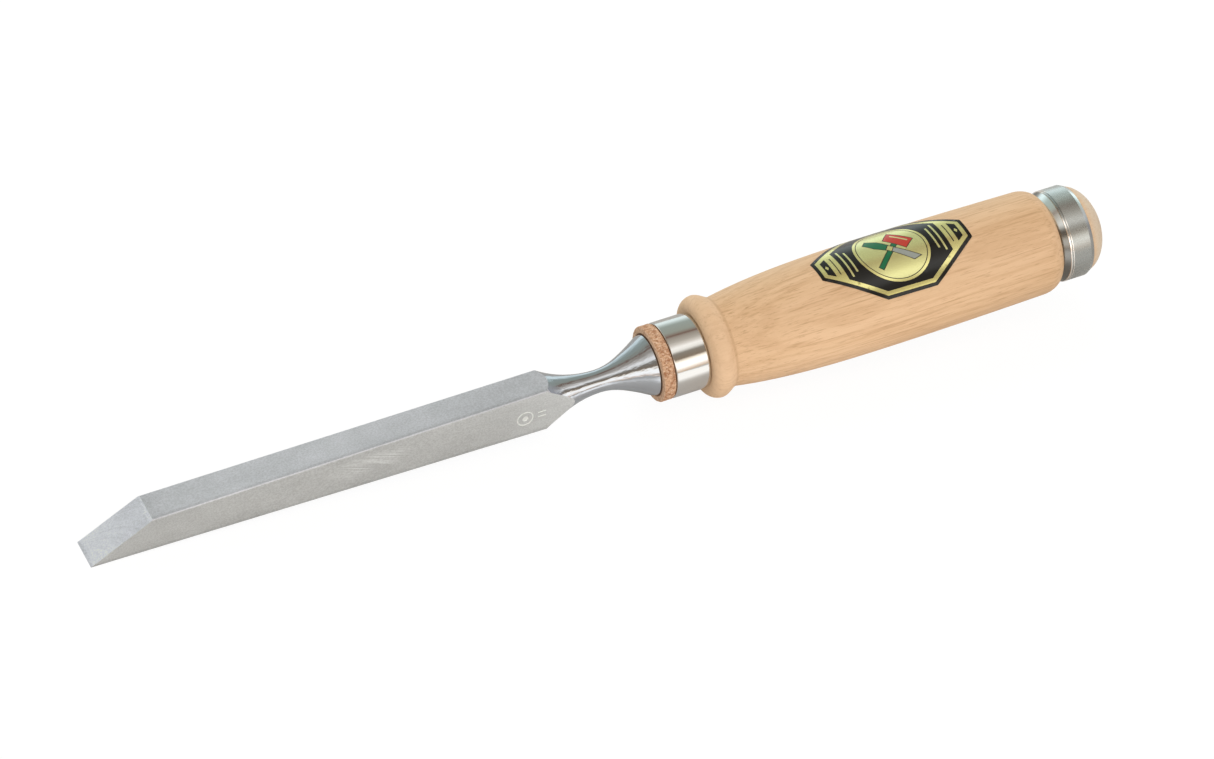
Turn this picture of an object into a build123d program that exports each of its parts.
"""Mortise-pattern bench chisel with a turned wooden handle.

The tool's long axis runs along +X from the cutting edge to the striking end, +Z is the bevel side and
the flat back faces -Z. The origin is the middle of the cutting edge. All sizes are in millimetres.
Radii and heights of the turned outlines are measured from the tool axis.
"""

from build123d import *
import math
import os

# ---- Driving dimensions -------------------------------------------------------------------------

# Height of the tool axis over the cutting edge: the centre line of the neck, ferrule, handle and hoop
axis_height = 3.75

# Blade bar, which narrows and thickens from the edge to the heel
edge_width = 10.0
heel_width = 9.0
heel_x = 133.5
heel_thickness = 14.55
back_fall = 3.5
bevel_length = 18.1
shoulder_height = 10.5
arris = 0.25

# Neck and bolster, turned about the tool axis
neck_x = 149.9
neck_radius = 3.2
neck_arc_radius = 30.0
neck_arc_angle = 45.0
flare_mid = (158.2, 5.35)
flare_end = (162.4, 7.5)
bolster_x = 165.4
bolster_radius = 8.75
bolster_slope = 0.15
bolster_round = 0.3

# Square tang, which tapers
tang_length = 70.0
tang_root = 7.0
tang_tip = 3.0

# Mark stamped in the near side of the blade: a ring, a dot and two bars
mark_x = 126.4
mark_height = -0.6
mark_radius = 2.5
mark_line = 0.4
mark_dot_radius = 0.9
mark_bar_x = 131.4
mark_bar_length = 2.4
mark_bar_pitch = 1.6
mark_depth = 0.12

# Leather washer
washer_thickness = 3.5
washer_radius = 10.85
washer_hole_radius = 5.2
washer_round = 0.35

# Ferrule
ferrule_setback = 0.2
ferrule_length = 10.3
ferrule_radius = 10.8
ferrule_wall = 1.2
ferrule_round = 0.5

# Handle outline: bead, waist, belly and rear shoulder
bead_gap = 0.15
bead_foot_radius = 11.7
bead_x = 182.9
bead_radius = 14.63
waist = (187.3, 12.75)
waist_slope_in = -0.15
waist_slope_out = 0.17
swell = (205.0, 14.76)
belly = (235.0, 15.54)
shoulder = (282.0, 14.95)
shoulder_slope = -0.02
shoulder_foot_radius = 11.7

# Striking hoop, and the dome of wood behind it
hoop_x = 287.3
hoop_length = 9.4
hoop_bore_radius = 11.0
hoop_lip_radius = 11.75
hoop_radius = 13.2
hoop_chamfer = 1.9
hoop_rim_width = 0.45
hoop_groove_width = 0.35
hoop_groove_depth = 0.25
hoop_rear_chamfer = 1.2
hoop_rear_radius = 12.6
dome_radius = 12.6
dome_length = 8.0
overall_length = 303.5

# Label, an elongated octagon wrapped on the belly
label_thickness = 0.15
label_x = 238.7
label_length = 45.6
label_side_length = 15.1
label_end_angle = 12.9
label_side_angle = 51.8
label_turn = 1.3
label_skew = 1.2
label_shear = 0.09

# ---- Worked out from the driving dimensions -----------------------------------------------------

handle_front = bolster_x + washer_thickness
ferrule_front = handle_front + ferrule_setback
ferrule_rear = ferrule_front + ferrule_length
bead_front = ferrule_rear + bead_gap
tenon_radius = ferrule_radius - ferrule_wall
hoop_rear = hoop_x + hoop_length
tool_axis = Axis((0, 0, axis_height), (1, 0, 0))
side_plane = Plane(origin=(0, 0, axis_height), x_dir=(1, 0, 0), z_dir=(0, -1, 0))


def along_bar(at_edge, at_heel, x):
    """A size of the tapered bar at x, from its values at the edge and at the heel."""
    return at_edge + (at_heel - at_edge) * x / heel_x


def top_height(x):
    """Height of the bar's top face over the cutting edge at x."""
    rise = heel_thickness - back_fall - shoulder_height
    return shoulder_height + rise * (x - bevel_length) / (heel_x - bevel_length)


def cross_plane(x):
    """Plane across the tool at x, centred on the tool axis."""
    return Plane(origin=(x, 0, axis_height), x_dir=(0, 1, 0), z_dir=(1, 0, 0))


def tang_sections():
    """The tang's square faces at its root and its tip, for the tang and for its bore in the handle."""
    with BuildSketch(cross_plane(bolster_x)) as root:
        Rectangle(tang_root, tang_root)
    with BuildSketch(cross_plane(bolster_x + tang_length)) as tip:
        Rectangle(tang_tip, tang_tip)
    return [root.sketch.face(), tip.sketch.face()]


def draw_belly(rise):
    """The handle's outline from the waist to the rear shoulder, moved outwards by rise."""
    points = [(x, radius + rise) for x, radius in (waist, swell, belly, shoulder)]
    Spline(*points, tangents=[(1, waist_slope_out), (1, shoulder_slope)])


def finish(part, name):
    """Labels a finished part and writes its STEP file."""
    part.label = name
    export_step(part, f"parts/{name}.step")


os.makedirs("parts", exist_ok=True)

# ---- Blade: ground bar, turned neck, bolster and tang in one forging ----------------------------

with BuildPart() as blade:
    # The bar's side outline, run on to the neck
    with BuildSketch(Plane.XZ):
        with BuildLine():
            Polyline(
                (0, 0),
                (bevel_length, shoulder_height),
                (neck_x, top_height(neck_x)),
                (neck_x, along_bar(0, -back_fall, neck_x)),
                close=True,
            )
        make_face()
    extrude(amount=edge_width, both=True)

    # Its plan outline, narrower at the heel
    with BuildSketch(Plane.XY):
        with BuildLine():
            neck_half = along_bar(edge_width, heel_width, neck_x) / 2
            Polyline(
                (0, -edge_width / 2),
                (neck_x, -neck_half),
                (neck_x, neck_half),
                (0, edge_width / 2),
                close=True,
            )
        make_face()
    extrude(amount=heel_thickness, both=True, mode=Mode.INTERSECT)

    # The two long top edges are broken by a fine chamfer
    long_edges = blade.edges().filter_by(lambda edge: edge.length > heel_x - bevel_length)
    chamfer(long_edges.sort_by(Axis.Z)[-2:], arris)

    # The heel is turned down to the neck
    arc_start = math.radians(neck_arc_angle)
    turned_radius = neck_radius + neck_arc_radius * (1 - math.cos(arc_start))
    turned_x = neck_x - neck_arc_radius * math.sin(arc_start)
    clear_of_edge = -edge_width
    with BuildSketch(side_plane):
        with BuildLine():
            Polyline(
                (neck_x, neck_radius),
                (neck_x, 0),
                (clear_of_edge, 0),
                (clear_of_edge, turned_radius),
                (turned_x, turned_radius),
            )
            CenterArc((neck_x, neck_radius + neck_arc_radius), neck_arc_radius, 270, -neck_arc_angle)
        make_face()
    revolve(axis=tool_axis, mode=Mode.INTERSECT)

    # The neck flares to the bolster
    with BuildSketch(side_plane):
        with BuildLine():
            rim = (bolster_x, bolster_radius)
            Spline((neck_x, neck_radius), flare_mid, flare_end, rim, tangents=[(1, 0), (1, bolster_slope)])
            Polyline(rim, (bolster_x, 0), (neck_x, 0), (neck_x, neck_radius))
        make_face()
    revolve(axis=tool_axis)
    fillet(blade.edges().filter_by(GeomType.CIRCLE).sort_by(Axis.X)[-1], bolster_round)

    loft(tang_sections())

    # The stamped mark
    side_taper = (edge_width - heel_width) / 2
    side_face = Plane(
        origin=(0, -edge_width / 2, axis_height),
        x_dir=(heel_x, side_taper, 0),
        z_dir=(side_taper, -heel_x, 0),
    )
    with BuildSketch(side_face):
        with Locations((mark_x, mark_height)):
            Circle(mark_radius)
            Circle(mark_radius - mark_line, mode=Mode.SUBTRACT)
            Circle(mark_dot_radius)
        with Locations((mark_bar_x, mark_height)):
            with GridLocations(0, mark_bar_pitch, 1, 2):
                Rectangle(mark_bar_length, mark_line)
    extrude(amount=-mark_depth, mode=Mode.SUBTRACT)

finish(blade.part, "blade")

# ---- Leather washer, punched with a round hole --------------------------------------------------

with BuildPart() as leather_washer:
    with BuildSketch(cross_plane(bolster_x)):
        Circle(washer_radius)
        Circle(washer_hole_radius, mode=Mode.SUBTRACT)
    extrude(amount=washer_thickness)
    rims = leather_washer.edges().filter_by(GeomType.CIRCLE).group_by(SortBy.RADIUS)[-1]
    fillet(rims, washer_round)

finish(leather_washer.part, "leather_washer")

# ---- Ferrule, pressed on the handle's front tenon -----------------------------------------------

with BuildPart() as ferrule:
    with BuildSketch(cross_plane(ferrule_front)):
        Circle(ferrule_radius)
        Circle(tenon_radius, mode=Mode.SUBTRACT)
    extrude(amount=ferrule_length)
    rims = ferrule.edges().filter_by(GeomType.CIRCLE).group_by(SortBy.RADIUS)[-1]
    fillet(rims, ferrule_round)

finish(ferrule.part, "ferrule")

# ---- Handle: one turned piece of wood, bored for the tang ---------------------------------------

with BuildPart() as handle:
    with BuildSketch(side_plane):
        with BuildLine():
            # Tenon for the ferrule, and the face behind it
            Polyline(
                (handle_front, 0),
                (handle_front, tenon_radius),
                (bead_front, tenon_radius),
                (bead_front, bead_foot_radius),
            )
            # Bead: a quarter round in front, a soft fall to the waist behind
            EllipticalCenterArc(
                (bead_x, bead_foot_radius),
                bead_x - bead_front,
                bead_radius - bead_foot_radius,
                start_angle=90,
                arc_size=90,
            )
            Spline((bead_x, bead_radius), waist, tangents=[(1, 0), (1, waist_slope_in)])
            draw_belly(0)
            # Rear shoulder, rounded down to the hoop
            EllipticalCenterArc(
                (shoulder[0], shoulder_foot_radius),
                hoop_x - shoulder[0],
                shoulder[1] - shoulder_foot_radius,
                arc_size=90,
            )
            # Seat of the hoop, and the dome that is spread over the hoop's rear face
            dome_centre = overall_length - dome_length
            dome_angle = math.acos((hoop_rear - dome_centre) / dome_length)
            Polyline(
                (hoop_x, shoulder_foot_radius),
                (hoop_x, hoop_bore_radius),
                (hoop_rear, hoop_bore_radius),
                (hoop_rear, dome_radius * math.sin(dome_angle)),
            )
            EllipticalCenterArc(
                (dome_centre, 0),
                dome_length,
                dome_radius,
                arc_size=math.degrees(dome_angle),
            )
            Line((overall_length, 0), (handle_front, 0))
        make_face()
    revolve(axis=tool_axis)
    loft(tang_sections(), mode=Mode.SUBTRACT)

finish(handle.part, "handle")

# ---- Striking hoop: chamfered front, fine rim and groove, band and rear chamfer -----------------

with BuildPart() as striking_hoop:
    rim_x = hoop_x + hoop_chamfer
    groove_x = rim_x + hoop_rim_width
    band_x = groove_x + hoop_groove_width
    groove_radius = hoop_radius - hoop_groove_depth
    with BuildSketch(side_plane):
        with BuildLine():
            Polyline(
                (hoop_x, hoop_bore_radius),
                (hoop_x, hoop_lip_radius),
                (rim_x, groove_radius),
                (rim_x, hoop_radius),
                (groove_x, hoop_radius),
                (groove_x, groove_radius),
                (band_x, groove_radius),
                (band_x, hoop_radius),
                (hoop_rear - hoop_rear_chamfer, hoop_radius),
                (hoop_rear, hoop_rear_radius),
                (hoop_rear, hoop_bore_radius),
                close=True,
            )
        make_face()
    revolve(axis=tool_axis)

finish(striking_hoop.part, "striking_hoop")

# ---- Label: thin foil that lies on the belly ----------------------------------------------------

with BuildPart() as label:
    # A thin skin all round the belly
    with BuildSketch(side_plane):
        with BuildLine():
            draw_belly(0)
            draw_belly(label_thickness)
            for x, radius in (waist, shoulder):
                Line((x, radius), (x, radius + label_thickness))
        make_face()
    revolve(axis=tool_axis)

    # Trimmed to the octagon, which faces a little to the near side and leans to the butt there
    turn = math.radians(label_turn)
    octagon_plane = Plane(
        origin=(label_x, 0, axis_height),
        x_dir=(1, 0, 0),
        z_dir=(0, -math.sin(turn), math.cos(turn)),
    )
    end_half = belly[1] * math.sin(math.radians(label_end_angle))
    side_half = belly[1] * math.sin(math.radians(label_side_angle))
    corners = [(label_length / 2, end_half), (label_side_length / 2, side_half)]
    near_half = [(-x, -y) for x, y in corners] + [(x, -y) for x, y in reversed(corners)]
    far_half = [(-x, -y) for x, y in near_half]
    octagon = [(x - label_shear * y, y) for x, y in near_half + far_half]
    with BuildSketch(octagon_plane):
        Polygon(*octagon, rotation=-label_skew, align=None)
    extrude(amount=2 * belly[1], mode=Mode.INTERSECT)

finish(label.part, "label")
